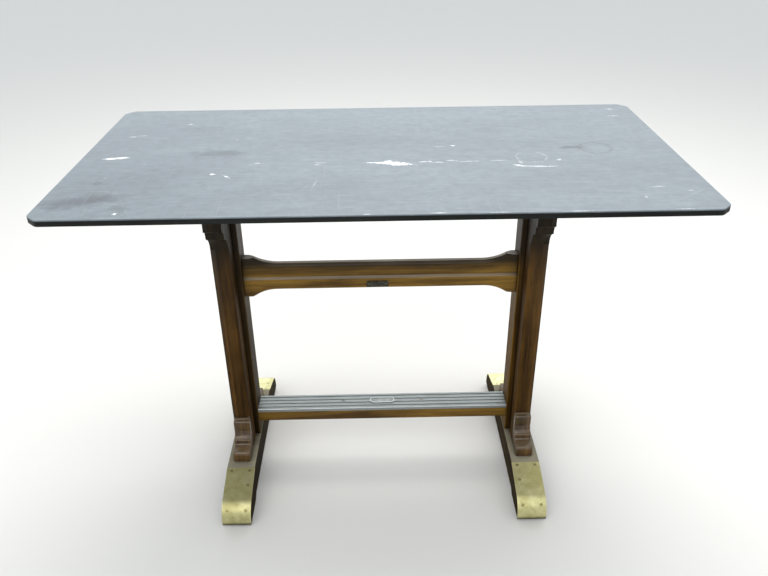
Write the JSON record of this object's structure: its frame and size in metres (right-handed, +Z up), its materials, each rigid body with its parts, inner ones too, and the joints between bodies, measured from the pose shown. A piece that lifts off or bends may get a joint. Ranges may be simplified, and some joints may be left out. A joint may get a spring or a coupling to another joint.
{
  "type": "trestle table",
  "caption": "Wooden trestle table: thin dark bevelled top, moulded end supports on brass-capped sledge feet, shaped upper rail and a foot rail with a ribbed metal tread.",
  "frame": {"origin": "on the floor under the middle of the table top", "axes": "+X along the length of the table, +Y from the front edge to the back edge, +Z up"},
  "size_m": [1.07, 0.564, 0.705],
  "materials": {
    "top_surface": "dark blue-black sheet with a low sheen, faded scratches and cup rings",
    "top_panel": "dark stained board edge, worn at the arrises",
    "rail_wood": "golden brown oak, waxed, darkened in the quirks",
    "foot_rail_wood": "golden brown oak, waxed and scuffed",
    "support_wood": "dark brown oak, waxed, rubbed to orange brown on the arrises",
    "pilaster_wood": "dark brown oak, waxed",
    "moulding_wood": "dark brown oak, glossy on the rolls",
    "bearer_wood": "dark brown oak, plain",
    "foot_wood": "dark brown oak, scuffed",
    "toe_plate_brass": "sheet brass, satin with handling marks",
    "tread_metal": "extruded ribs, brushed and worn bright",
    "badge_metal": "plain plate, worn",
    "plaque_bronze": "darkened bronze, plain",
    "pad_rubber": "dull black",
    "hidden_screw_steel": "plain steel wood screws",
    "brass_screws": "slotted brass wood screws, tarnished in the slots",
    "tread_screw_steel": "slotted steel wood screws, worn flush",
    "plaque_pin_brass": "small brass pins"
  },
  "bodies": {
    "root": {"tabletop_surface": "top_surface", "tabletop_panel": "top_panel", "upper_rail": "rail_wood", "rail_plaque": "plaque_bronze", "foot_rail": "foot_rail_wood", "foot_rail_tread": "tread_metal", "tread_badge": "badge_metal", "left_end_board": "support_wood", "right_end_board": "support_wood", "left_inner_pilaster": "pilaster_wood", "left_outer_pilaster": "pilaster_wood", "right_inner_pilaster": "pilaster_wood", "right_outer_pilaster": "pilaster_wood", "left_bearer": "bearer_wood", "right_bearer": "bearer_wood", "left_foot": "foot_wood", "right_foot": "foot_wood", "left_front_plinth_block": "moulding_wood", "left_rear_plinth_block": "moulding_wood", "right_front_plinth_block": "moulding_wood", "right_rear_plinth_block": "moulding_wood", "left_front_corbel": "moulding_wood", "left_rear_corbel": "moulding_wood", "right_front_corbel": "moulding_wood", "right_rear_corbel": "moulding_wood", "left_front_toe_plate": "toe_plate_brass", "left_rear_toe_plate": "toe_plate_brass", "right_front_toe_plate": "toe_plate_brass", "right_rear_toe_plate": "toe_plate_brass", "left_front_floor_pad": "pad_rubber", "left_rear_floor_pad": "pad_rubber", "right_front_floor_pad": "pad_rubber", "right_rear_floor_pad": "pad_rubber", "top_fixing_screws": "hidden_screw_steel", "bearer_screws": "hidden_screw_steel", "foot_screws": "hidden_screw_steel", "toe_plate_screws": "brass_screws", "tread_screws": "tread_screw_steel", "plaque_pins": "plaque_pin_brass"}
  },
  "joints": []
}
